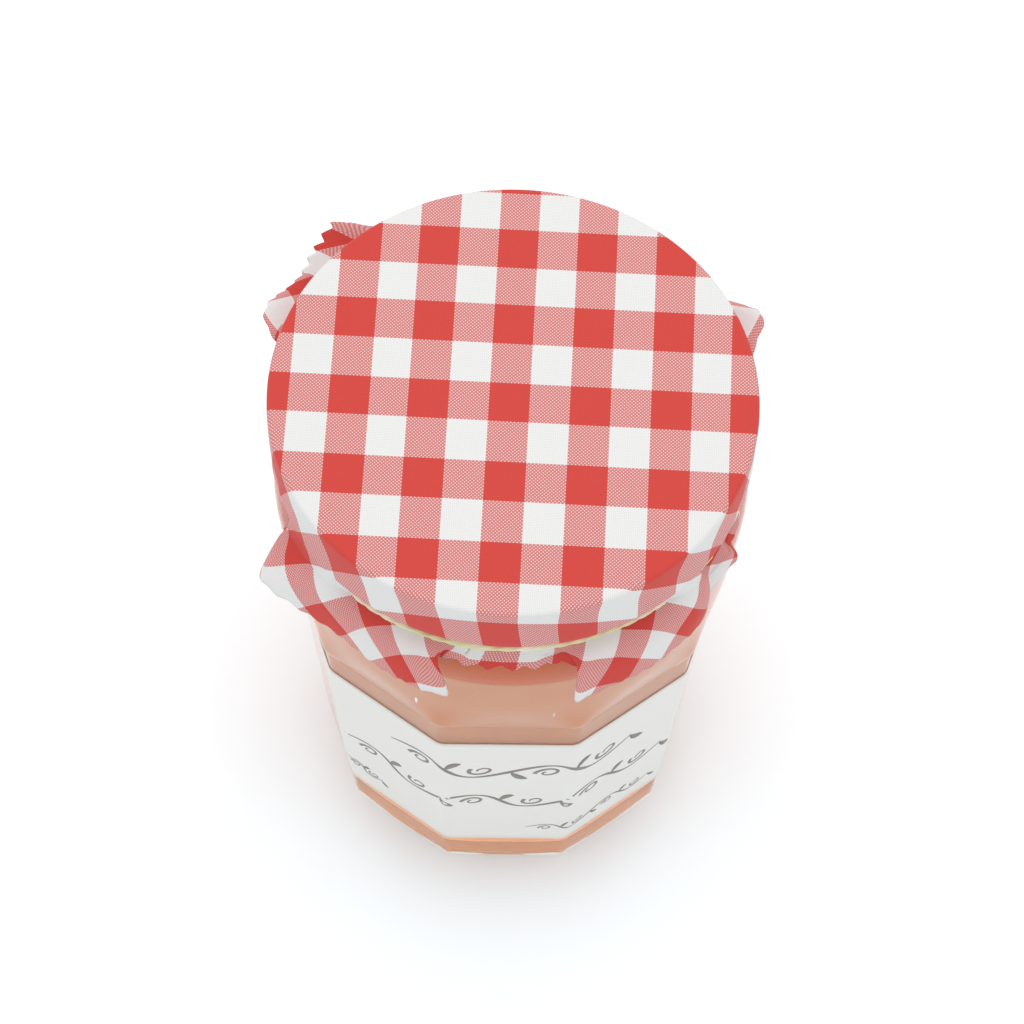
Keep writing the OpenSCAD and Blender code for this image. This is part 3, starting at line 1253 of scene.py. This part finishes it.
def smooth_through(at: np.ndarray, keys: np.ndarray, rows: np.ndarray) -> np.ndarray:
    """A smooth curve through rows of numbers, at places between their keys.

    Args:
        at: Places to find, within the second and the last but one key.
        keys: Rising keys of the rows.
        rows: The numbers at each key.

    Returns:
        One row for each place.
    """
    i = np.clip(np.searchsorted(keys, at, side="right") - 1, 1, len(keys) - 3)
    wide = (keys[i + 1] - keys[i])[:, None]
    u = (at - keys[i])[:, None] / wide
    slope_0 = (rows[i + 1] - rows[i - 1]) / (keys[i + 1] - keys[i - 1])[:, None] * wide
    slope_1 = (rows[i + 2] - rows[i]) / (keys[i + 2] - keys[i])[:, None] * wide
    return (
        (2 * u**3 - 3 * u**2 + 1) * rows[i]
        + (u**3 - 2 * u**2 + u) * slope_0
        + (3 * u**2 - 2 * u**3) * rows[i + 1]
        + (u**3 - u**2) * slope_1
    )


@dataclass
class ClothCover:
    """A piece of gingham with its corners cut off, laid over the lid and gathered by the tie.

    Sizes are in millimetres. A point of the cloth has a place in the flat cut, which carries
    the check, and a place in space.
    """

    FLAT_MAP = "flat_cut"

    lid_r: float
    lid_top_z: float
    lid_foot_z: float
    tie_z: float
    neck_r: float
    cloth_t: float = 0.4
    # How far the cloth stands off the lid's side and off the neck, and how much higher than the
    # frame's tie it is gathered. The cord's middle lies cord_off outside the cloth.
    lid_gap: float = 0.2
    neck_gap: float = 0.75
    tie_lift: float = 0.2
    cord_off: float = 0.5
    turn: float = -2.6
    turn_at_tie: float = -0.8
    crown_r: float = 0.6
    pink_pitch: float = 4.4
    pink_depth: float = 0.9
    columns: int = 720
    drop_steps: int = 18
    # Directions in the flat cut from a middle of a side to the next, and the cut's edge there.
    cut_deg: tuple[float, ...] = (0, 6, 10, 13, 15.5, 19, 22.7, 29.4, 36, 41, 47, 53, 58, 66, 75, 90)
    cut_r: tuple[float, ...] = (
        61.8, 62.3, 64.5, 69, 74.2, 75.2, 75.2, 73.2, 69.8, 67.4, 66.2, 66.3, 66, 64.5, 62.8, 62
    )
    back_cut_r: float = 66.5
    # Directions of the flat cut, and where they pass the tie.
    flat_deg: tuple[float, ...] = (0, 9, 12, 15.5, 22.7, 30.8, 39.6, 47, 53, 58, 66, 75, 90)
    tie_deg: tuple[float, ...] = (0, 10.5, 13.5, 17, 25.7, 34.8, 44.3, 52, 58, 62.5, 69.5, 77, 90)
    bias_stretch: float = 3.5
    front_slack: float = 0.9
    tent_reach: float = 1.0
    tent_drop: float = 4.3
    tent_from_deg: float = 33.0
    drape: float = 1.05

    def fold(self, degrees: np.ndarray) -> tuple[np.ndarray, np.ndarray]:
        """Bring a direction into the first quarter, as the sides of the cloth are alike.

        Args:
            degrees: Directions from -180 to 180.

        Returns:
            The direction's angle from the nearer end of its axis, and whether that is the back.
        """
        size = np.abs(degrees)
        back = size > 90
        return np.where(back, 180 - size, size), back

    def mirrored(self, degrees: np.ndarray, keys: Sequence[float], values: Sequence[float]) -> np.ndarray:
        """Read a table of angles for the first quarter at any direction.

        Args:
            degrees: Directions from -180 to 180.
            keys: Rising angles in the first quarter.
            values: The angle at each key.

        Returns:
            Angles in degrees, in the same quarters as the directions.
        """
        size, back = self.fold(degrees)
        there = np.interp(size, keys, values)
        return np.sign(degrees) * np.where(back, 180 - there, there)

    def cut_edge(self, degrees: np.ndarray) -> tuple[np.ndarray, np.ndarray]:
        """Distance in the flat cut from its middle to its edge.

        Args:
            degrees: Directions in the flat cut, from -180 to 180.

        Returns:
            Distances in millimetres, and the depth of the pinked teeth there.
        """
        size, back = self.fold(degrees)
        edge = np.interp(size, self.cut_deg, self.cut_r)
        edge = np.where(back, np.minimum(edge, self.back_cut_r), edge)
        place = np.stack([edge * np.cos(np.radians(degrees)), edge * np.sin(np.radians(degrees))], axis=1)
        run = np.concatenate([[0.0], np.cumsum(np.linalg.norm(np.diff(place, axis=0), axis=1))])
        teeth = round(run[-1] / self.pink_pitch)
        phase = run / (run[-1] * (1 + 1 / len(run))) * teeth
        return edge, self.pink_depth * np.abs((phase % 1.0) - 0.5) * 2

    def hem(self, degrees: np.ndarray) -> np.ndarray:
        """The hem's place at each direction of the flat cut.

        Args:
            degrees: Directions in the flat cut, from -180 to 180.

        Returns:
            Rows of angle in degrees, distance from the axis and height.
        """
        right = [*FRONT_HEM, *FRONT_RIGHT_FLAP, *SIDE_HEM, *BACK_RIGHT_FLAP, *BACK_HEM]
        left = [*FRONT_HEM, *FRONT_LEFT_FLAP, *SIDE_HEM, *BACK_LEFT_FLAP, *BACK_HEM]
        places = [Hem(-h.flat_deg, -h.deg, h.radius, h.height) for h in reversed(left[1:])] + right
        keys = np.array([h.flat_deg for h in places])
        rows = np.array([(h.deg, h.radius, h.height) for h in places])
        whole = np.array([360.0, 0.0, 0.0])
        keys = np.concatenate([keys[-3:-1] - 360, keys, keys[1:3] + 360])
        rows = np.concatenate([rows[-3:-1] - whole, rows, rows[1:3] + whole])
        return smooth_through(degrees, keys, rows)

    def profile(self) -> tuple[np.ndarray, np.ndarray]:
        """The half outline from the middle of the lid to the tie.

        Returns:
            Distances along it and points on it, as distance from the axis and height.
        """
        mid = self.cloth_t / 2
        side_r = self.lid_r + self.lid_gap + mid
        top_z = self.lid_top_z + mid
        tie_r = self.neck_r + self.neck_gap + mid
        c = self.crown_r
        points = [(x * (side_r - c), top_z) for x in (0.0, 0.03, *np.linspace(0.08, 1, 22))][:-1]
        points += quarter((side_r - c, top_z - c), (c, c), (90, 0), 6)
        points += [(side_r + 0.05, z) for z in np.linspace(top_z - c, self.lid_foot_z + 1.6, 9)[1:]]
        bend = quarter((side_r - 1.3, self.lid_foot_z + 1.0), (1.35, 1.3), (10, -55), 4)
        points += bend
        start = bend[-1]
        points += [
            (
                start[0] + (tie_r - start[0]) * float(smooth_step(t)),
                start[1] + (self.tie_z + self.tie_lift - start[1]) * t,
            )
            for t in (0.3, 0.6, 0.85, 1.0)
        ]
        line = np.array(points)
        run = np.concatenate([[0.0], np.cumsum(np.linalg.norm(np.diff(line, axis=0), axis=1))])
        return run, line

    def falls(
        self, start: np.ndarray, end: np.ndarray, length: np.ndarray, kept: np.ndarray, rise: np.ndarray
    ) -> np.ndarray:
        """Curves of a given length from the tie out to the hem.

        Args:
            start: Points where the cloth leaves the tie, or stands out from the lid and passes it by.
            end: Points at the hem, before its teeth are cut.
            length: The length of each curve.
            kept: The share of the length that the teeth leave.
            rise: How much the cloth stands out before it falls, from nothing to one.

        Returns:
            Points as (step, column, xyz), evenly spaced along each curve.
        """
        out = start * [1, 1, 0]
        out /= np.linalg.norm(out, axis=1, keepdims=True)
        up = np.array([0.0, 0.0, 1.0])
        leave = out * (0.5 + 0.25 * rise)[:, None] + up * (-0.8 + 0.35 * rise)[:, None]
        leave /= np.linalg.norm(leave, axis=1, keepdims=True)
        back = (start - end) / np.linalg.norm(start - end, axis=1, keepdims=True)
        back = back + up * (0.35 * rise)[:, None] + out * (0.3 * rise)[:, None]
        back /= np.linalg.norm(back, axis=1, keepdims=True)
        t = np.linspace(0, 1, 41)[:, None, None]

        def curve(handle: np.ndarray) -> np.ndarray:
            """The curves whose ends are pulled by handles.

            Args:
                handle: Length of both handles of each curve.

            Returns:
                Points as (step, column, xyz).
            """
            near = start + leave * handle[:, None]
            far = end + back * handle[:, None]
            return (1 - t) ** 3 * start + 3 * (1 - t) ** 2 * t * near + 3 * (1 - t) * t**2 * far + t**3 * end

        low, high = 0.1 * length, 1.0 * length
        for _ in range(14):
            middle = (low + high) / 2
            run = np.linalg.norm(np.diff(curve(middle), axis=0), axis=2).sum(axis=0)
            low = np.where(run < length, middle, low)
            high = np.where(run < length, high, middle)
        line = curve((low + high) / 2)
        run = np.concatenate(
            [np.zeros((1, len(start))), np.cumsum(np.linalg.norm(np.diff(line, axis=0), axis=2), axis=0)]
        )
        share = np.arange(1, self.drop_steps + 1) / self.drop_steps
        even = np.empty((self.drop_steps, len(start), 3))
        for c in range(len(start)):
            for axis in range(3):
                even[:, c, axis] = np.interp(share * kept[c] * run[-1, c], run[:, c], line[:, c, axis])
        return even

    def shape(self) -> tuple[np.ndarray, np.ndarray]:
        """Lay the cloth over the lid, in at the tie and out in flaps below it.

        Returns:
            Points in space and points in the flat cut, both as (ring, column, ...) in
            millimetres, from the middle out.
        """
        degrees = -180 + np.arange(self.columns) * 360.0 / self.columns
        lid_way = np.radians(degrees)
        tie_way = np.radians(self.mirrored(degrees, self.flat_deg, self.tie_deg))
        squeeze = 1 - np.clip(np.gradient(tie_way) / np.gradient(lid_way), 0, 1)
        edge, teeth = self.cut_edge(degrees)
        hem = self.hem(degrees)
        rise = np.asarray(smooth_step((hem[:, 1] - 44.0) / 3.0))
        tent = rise * np.asarray(smooth_step((self.fold(degrees)[0] - self.tent_from_deg) / 9.0))
        run, line = self.profile()
        rim = int(np.argmax(line[:, 0] > self.lid_r))
        foot = int(np.argmax(line[:, 1] < self.lid_foot_z + 1.7))
        rim_run, foot_run, tie_run = run[rim], run[foot], run[-1]
        foot_r, foot_z = line[foot]
        turn, turn_at_tie = math.radians(self.turn), math.radians(self.turn_at_tie)
        bias = self.bias_stretch * np.sin(2 * lid_way) ** 2
        slack = self.front_slack * np.maximum(np.cos(lid_way), 0) ** 2
        space, flat = [], []
        for s, (radius, height) in zip(run[1:], line[1:]):
            share = float(smooth_step((s - rim_run) / (tie_run - rim_run)))
            down = float(np.clip((s - rim_run) / (foot_run - rim_run), 0, 1))
            under = float(np.clip((s - foot_run) / (tie_run - foot_run), 0, 1))
            angle = lid_way + turn + (tie_way + turn_at_tie - lid_way - turn) * share
            pucker = 0.5 * down * (1 - under) * squeeze * np.sin(lid_way * 52 + 2.0 * np.sin(lid_way * 7))
            loose = slack * down * (1 - float(smooth_step(under * 2)))
            tented = foot_r + self.tent_reach * under - radius
            dropped = foot_z - self.tent_drop * under - height
            on = tent if under > 0 else 0.0
            space.append(around(angle, radius + pucker + loose + tented * on, height + dropped * on))
            flat.append(around(lid_way, s - bias * share, 0.0)[:, :2])
        flat_end = around(np.radians(degrees), edge, 0.0)[:, :2]
        length = np.linalg.norm(flat_end - flat[-1], axis=1)
        kept = 1 - teeth / length
        start, flat_start = space[-1], flat[-1]
        end = around(np.radians(hem[:, 0]) + turn, hem[:, 1], hem[:, 2])
        drop = np.linalg.norm(end - start, axis=1)
        for i, row in enumerate(self.falls(start, end, np.minimum(length, drop * self.drape), kept, rise)):
            space.append(row)
            share = (kept * (i + 1) / self.drop_steps)[:, None]
            flat.append(flat_start + (flat_end - flat_start) * share)
        return np.stack(space), np.stack(flat)

    def build(self, finish: GinghamCotton) -> bpy.types.Object:
        """Make the cover as a sheet with its thickness and its flat coordinates.

        Args:
            finish: The cotton.

        Returns:
            The cover.
        """
        space, flat = self.shape()
        rings, columns = space.shape[:2]
        faces = []
        for r in range(rings - 1):
            for c in range(columns):
                n = (c + 1) % columns
                faces.append((r * columns + c, (r + 1) * columns + c, (r + 1) * columns + n, r * columns + n))
        middle = rings * columns
        faces += [(middle, c, (c + 1) % columns) for c in range(columns)]
        top = np.array([[0.0, 0.0, space[0, 0, 2]]])
        points = np.concatenate([space.reshape(-1, 3), top]) * MM
        piece = mesh_object("cloth_cover", points, faces, finish.make())
        places = np.concatenate([flat.reshape(-1, 2), [[0.0, 0.0]]]) * MM
        layer = piece.data.uv_layers.new(name=self.FLAT_MAP)
        corners = np.empty(len(piece.data.loops), dtype=np.int32)
        piece.data.loops.foreach_get("vertex_index", corners)
        layer.data.foreach_set("uv", places[corners].astype(np.float32).ravel())
        thickness = piece.modifiers.new("thickness", "SOLIDIFY")
        thickness.thickness = self.cloth_t * MM
        thickness.offset = 0.0
        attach(piece, BODY)
        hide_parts("cloth")
        return piece


@dataclass
class ElasticTie:
    """The thin twisted cord that holds the cloth in under the lid. Sizes are in millimetres."""

    ring_r: float
    height: float
    cord_r: float = 0.55
    strands: int = 3
    twists: int = 84
    ridge_share: float = 0.16
    sway: tuple[float, float] = (0.18, 0.12)

    def build(self, finish: CoveredElastic) -> bpy.types.Object:
        """Make the cord as a closed ring with its strands twisted round each other.

        Args:
            finish: The elastic.

        Returns:
            The tie.
        """
        around_n, across_n = 1008, 12
        angle = np.arange(around_n) * 2 * math.pi / around_n
        across = np.arange(across_n) * 2 * math.pi / across_n
        a, b = np.meshgrid(angle, across, indexing="ij")
        ridge = 1 + self.ridge_share * np.cos(self.strands * b - self.twists * a)
        sway = self.sway[0] * np.sin(2 * a + 0.6) + self.sway[1] * np.sin(5 * a)
        radius = self.ring_r + self.cord_r * ridge * np.cos(b)
        height = self.height + sway + self.cord_r * ridge * np.sin(b)
        points = around(a, radius, height).reshape(-1, 3) * MM
        faces = [
            (
                i * across_n + j,
                ((i + 1) % around_n) * across_n + j,
                ((i + 1) % around_n) * across_n + (j + 1) % across_n,
                i * across_n + (j + 1) % across_n,
            )
            for i in range(around_n)
            for j in range(across_n)
        ]
        piece = mesh_object("elastic_tie", points, faces, finish.make())
        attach(piece, BODY)
        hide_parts("tie")
        return piece


# ---------------------------------------------------------------- studio


@dataclass
class Studio:
    """Camera, floor and light: a bright, shadow-poor white set seen from high in front."""

    target_z: float = 0.0766
    distance: float = 0.6516
    elevation: float = 62.0
    azimuth: float = -1.17
    roll: float = 1.62
    lens_mm: float = 123.05
    shift: tuple[float, float] = (0.00227, 0.01474)
    floor_side: float = 6.0
    sky: float = 0.89
    top_light_w: float = 3.7
    top_light_across: float = 0.9
    top_light_place: tuple[float, float, float] = (0.0, 0.16, 1.1)

    def camera(self) -> bpy.types.Object:
        """Make the camera and give it to the scene.

        Returns:
            The camera.
        """
        data = bpy.data.cameras.new("camera")
        data.lens = self.lens_mm
        data.sensor_width = 36.0
        data.shift_x, data.shift_y = self.shift
        made = bpy.data.objects.new("camera", data)
        az, el = math.radians(self.azimuth), math.radians(self.elevation)
        back = Vector((math.sin(az) * math.cos(el), -math.cos(az) * math.cos(el), math.sin(el)))
        right = Vector((math.cos(az), math.sin(az), 0.0))
        up = back.cross(right)
        roll = math.radians(self.roll)
        axis_x = right * math.cos(roll) + up * math.sin(roll)
        axis_y = up * math.cos(roll) - right * math.sin(roll)
        place = back * self.distance + Vector((0.0, 0.0, self.target_z))
        turned = Matrix((axis_x, axis_y, back)).transposed()
        made.matrix_world = Matrix.Translation(place) @ turned.to_4x4()
        bpy.context.scene.collection.objects.link(made)
        bpy.context.scene.camera = made
        return made

    def floor(self, finish: StudioPaper) -> bpy.types.Object:
        """Make the floor that the jar stands on.

        Args:
            finish: The background paper.

        Returns:
            The floor.
        """
        half = self.floor_side / 2
        points = np.array([[-half, -half, 0.0], [half, -half, 0.0], [half, half, 0.0], [-half, half, 0.0]])
        made = mesh_object("studio_floor", points, [(0, 1, 2, 3)], finish.make())
        return made

    def light(self) -> None:
        """Light the set evenly from all round, with a little more from straight above."""
        world = bpy.data.worlds.new("studio_sky")
        world.use_nodes = True
        tree = world.node_tree
        tree.nodes.clear()
        sky = add_node(tree, "ShaderNodeBackground", Color=(1.0, 1.0, 1.0, 1.0), Strength=self.sky)
        add_node(tree, "ShaderNodeOutputWorld", Surface=(sky, "Background"))
        bpy.context.scene.world = world
        data = bpy.data.lights.new("top_softbox", "AREA")
        data.shape = "DISK"
        data.size = self.top_light_across
        data.energy = self.top_light_w
        made = bpy.data.objects.new("top_softbox", data)
        made.location = self.top_light_place
        made.visible_glossy = False
        made.visible_transmission = False
        bpy.context.scene.collection.objects.link(made)


def box_mm(node: str) -> tuple[np.ndarray, np.ndarray]:
    """Lowest and highest corner of a frame node, in millimetres."""
    low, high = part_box(node)
    return np.array(low) / MM, np.array(high) / MM


def main() -> None:
    """Build every piece in order and report it."""
    logging.basicConfig(level=logging.INFO, format="%(message)s")
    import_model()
    bpy.context.scene.view_settings.view_transform = "Standard"

    studio = Studio()
    studio.camera()
    studio.floor(StudioPaper())
    studio.light()

    jar_high = box_mm("jar")[1]
    lid_low, lid_high = box_mm("lid")
    tie_low, tie_high = box_mm("tie")
    label_low, label_high = box_mm("label")
    jam_high = box_mm("jam")[1]

    jar = GlassJar(rim_z=float(jar_high[2]))
    label = PaperLabel(jar, float(label_low[2]), float(label_high[2]))
    cover = ClothCover(
        lid_r=float(lid_high[0]),
        lid_top_z=float(lid_high[2]),
        lid_foot_z=float(lid_low[2]),
        tie_z=float(tie_low[2] + tie_high[2]) / 2,
        neck_r=jar.neck_r,
    )
    tie = ElasticTie(
        ring_r=cover.neck_r + cover.neck_gap + cover.cloth_t + cover.cord_off,
        height=cover.tie_z + cover.tie_lift,
    )
    pieces = [
        jar.build(MouldedGlass()),
        JamFill(jar, float(jam_high[2])).build(PeachJam()),
        label.build(UncoatedPaper()),
        label.build_ornament(PrintingInk()),
        cover.build(GinghamCotton()),
        tie.build(CoveredElastic()),
    ]
    lid = frame_lid(LacqueredTinplate())
    for piece in [*pieces, lid]:
        LOG.info("%s: %d faces", piece.name, len(piece.data.polygons))


def frame_lid(finish: LacqueredTinplate) -> bpy.types.Object:
    """Dress the frame's own lid, whose shape is right as it is.

    Args:
        finish: The tinplate.

    Returns:
        The lid.
    """
    lid = next(o for o in bpy.data.objects if o.type == "MESH" and o.name.startswith("lid"))
    lid.data.materials.clear()
    lid.data.materials.append(finish.make())
    return lid


if __name__ == "__main__":
    main()
